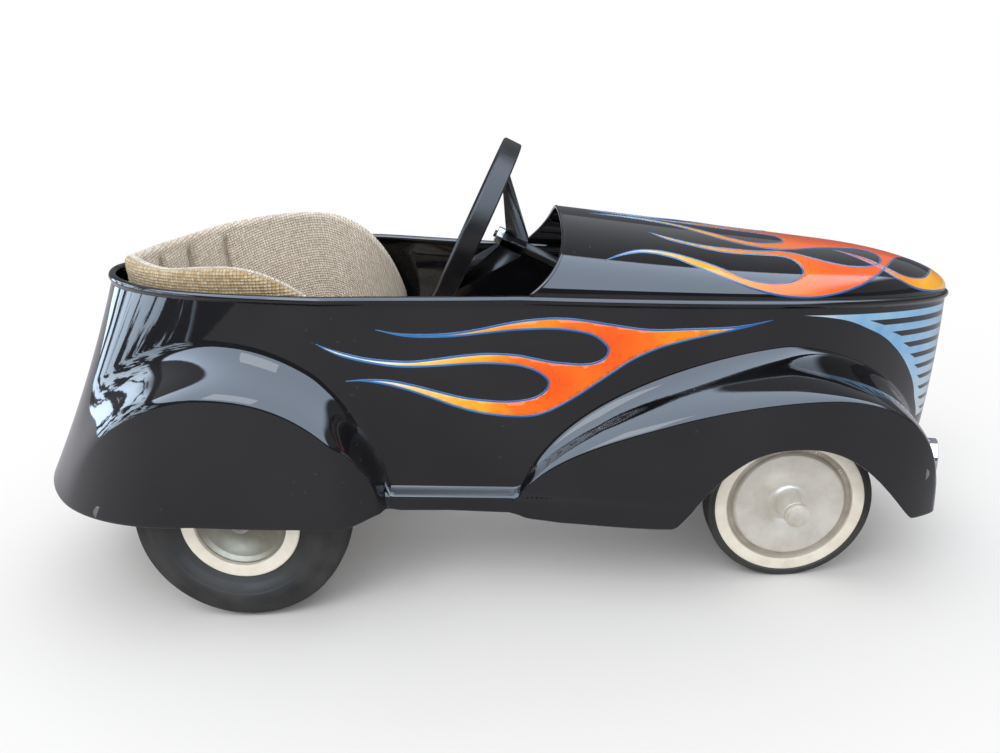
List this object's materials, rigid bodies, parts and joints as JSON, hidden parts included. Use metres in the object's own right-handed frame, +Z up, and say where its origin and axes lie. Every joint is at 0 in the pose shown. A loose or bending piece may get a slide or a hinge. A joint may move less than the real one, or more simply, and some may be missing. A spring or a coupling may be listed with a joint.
{
  "type": "hot rod pedal car",
  "caption": "Child's pedal car with a pressed body, flowing fenders, a woven wrap-round seat, steered front wheels and pedals that drive a cranked rear axle.",
  "frame": {"origin": "middle of the bounding box, on the ground under the tyres", "axes": "+X forward to the nose, +Y to the left side of the car, +Z up"},
  "size_m": [1.0961, 0.474, 0.483],
  "materials": {
    "bare_steel": "plain steel, oiled",
    "board": "varnished plywood",
    "body_paint": "gloss black enamel, flames and grille lines painted over it",
    "chrome": "bright plated",
    "disc_steel": "brushed nickel plate",
    "frame_paint": "satin black",
    "lamp_glass": "clear, faintly tinted",
    "plated_steel": "zinc plated, slightly dull",
    "ring_paint": "cream enamel",
    "rubber": "ribbed black rubber",
    "shell_paint": "satin black",
    "tyre": "black rubber, worn satin",
    "weave": "tan basket weave",
    "wheel_black": "satin black moulding"
  },
  "bodies": {
    "car_body": {"body_shell": "body_paint", "hood_shell": "body_paint", "weld_nuts": "bare_steel", "rod_cups": "bare_steel", "headlight_bezel_right": "chrome", "headlight_lens_right": "lamp_glass", "headlight_bezel_left": "chrome", "headlight_lens_left": "lamp_glass", "chassis_frame": "frame_paint", "body_screws": "plated_steel", "frame_bolts": "plated_steel", "rear_bearing_right": "bare_steel", "rear_bearing_left": "bare_steel", "front_axle_beam": "frame_paint", "kingpin_right": "plated_steel", "kingpin_left": "plated_steel", "steering_support": "frame_paint", "dash_bar": "frame_paint", "pedal_rod": "plated_steel", "pedal_collars": "plated_steel", "seat_riser_rear": "frame_paint", "seat_riser_front": "frame_paint", "seat_board": "board", "seat_shell": "shell_paint", "seat_cushion": "weave", "seat_back": "weave"},
    "steering": {"steering_rim": "wheel_black", "steering_spokes": "wheel_black", "steering_nut": "plated_steel", "steering_column": "frame_paint", "column_arm": "bare_steel"},
    "spindle_right": {"spindle_right": "bare_steel", "front_axle_cap_right": "disc_steel"},
    "spindle_left": {"spindle_left": "bare_steel", "front_axle_cap_left": "disc_steel"},
    "front_wheel_right": {"front_tyre_right": "tyre", "front_rim_right": "ring_paint", "front_disc_right": "disc_steel"},
    "front_wheel_left": {"front_tyre_left": "tyre", "front_rim_left": "ring_paint", "front_disc_left": "disc_steel"},
    "tie_rod": {"tie_rod": "bare_steel", "tie_bracket": "bare_steel"},
    "rear_axle": {"rear_axle": "plated_steel", "rear_tyre_right": "tyre", "rear_rim_right": "ring_paint", "rear_disc_right": "bare_steel", "rear_axle_cap_right": "plated_steel", "rear_axle_cap_left": "plated_steel"},
    "rear_wheel_left": {"rear_tyre_left": "tyre", "rear_rim_left": "ring_paint", "rear_disc_left": "bare_steel"},
    "drive_rod_right": {"drive_rod_right": "plated_steel"},
    "drive_rod_left": {"drive_rod_left": "plated_steel"},
    "pedal_right": {"pedal_arm_right": "frame_paint", "pedal_pad_right": "rubber"},
    "pedal_left": {"pedal_arm_left": "frame_paint", "pedal_pad_left": "rubber"}
  },
  "joints": [
    {"name": "steering_turn", "type": "hinge", "parent": "car_body", "child": "steering", "pos_m": [-0.0194, 0, 0.3885], "axis": [0.8829, 0, -0.4695], "range_deg": [-20, 20]},
    {"name": "kingpin_right", "type": "hinge", "parent": "car_body", "child": "spindle_right", "pos_m": [0.3171, -0.115, 0.0896], "axis": [0, 0, 1], "range_deg": [-20, 20]},
    {"name": "kingpin_left", "type": "hinge", "parent": "car_body", "child": "spindle_left", "pos_m": [0.3171, 0.115, 0.0896], "axis": [0, 0, 1], "range_deg": [-20, 20]},
    {"name": "tie_rod_pivot", "type": "hinge", "parent": "spindle_left", "child": "tie_rod", "pos_m": [0.2721, 0.115, 0.0896], "axis": [0, 0, 1], "range_deg": [-20, 20]},
    {"name": "front_wheel_right_spin", "type": "hinge", "parent": "spindle_right", "child": "front_wheel_right", "pos_m": [0.3171, -0.15, 0.0896], "axis": [0, 1, 0], "continuous": true},
    {"name": "front_wheel_left_spin", "type": "hinge", "parent": "spindle_left", "child": "front_wheel_left", "pos_m": [0.3171, 0.15, 0.0896], "axis": [0, 1, 0], "continuous": true},
    {"name": "rear_axle_spin", "type": "hinge", "parent": "car_body", "child": "rear_axle", "pos_m": [-0.2729, 0, 0.114], "axis": [0, 1, 0], "continuous": true},
    {"name": "rear_wheel_left_spin", "type": "hinge", "parent": "rear_axle", "child": "rear_wheel_left", "pos_m": [-0.2729, 0.181, 0.114], "axis": [0, 1, 0], "continuous": true},
    {"name": "drive_rod_right_pivot", "type": "hinge", "parent": "rear_axle", "child": "drive_rod_right", "pos_m": [-0.2729, -0.045, 0.148], "axis": [0, 1, 0], "continuous": true},
    {"name": "drive_rod_left_pivot", "type": "hinge", "parent": "rear_axle", "child": "drive_rod_left", "pos_m": [-0.2729, 0.045, 0.08], "axis": [0, 1, 0], "continuous": true},
    {"name": "pedal_right_swing", "type": "hinge", "parent": "car_body", "child": "pedal_right", "pos_m": [0.1771, -0.057, 0.265], "axis": [0, 1, 0], "range_deg": [-15.5, 17]},
    {"name": "pedal_left_swing", "type": "hinge", "parent": "car_body", "child": "pedal_left", "pos_m": [0.1771, 0.057, 0.265], "axis": [0, 1, 0], "range_deg": [-17, 15.5]}
  ],
  "couplings": [
    {"joint": "kingpin_right", "follows": "steering_turn", "ratio": -1},
    {"joint": "kingpin_left", "follows": "steering_turn", "ratio": -1},
    {"joint": "tie_rod_pivot", "follows": "steering_turn", "ratio": 1},
    {"joint": "pedal_left_swing", "follows": "pedal_right_swing", "ratio": -1},
    {"joint": "drive_rod_right_pivot", "follows": "rear_axle_spin", "ratio": -1},
    {"joint": "drive_rod_left_pivot", "follows": "rear_axle_spin", "ratio": -1}
  ]
}
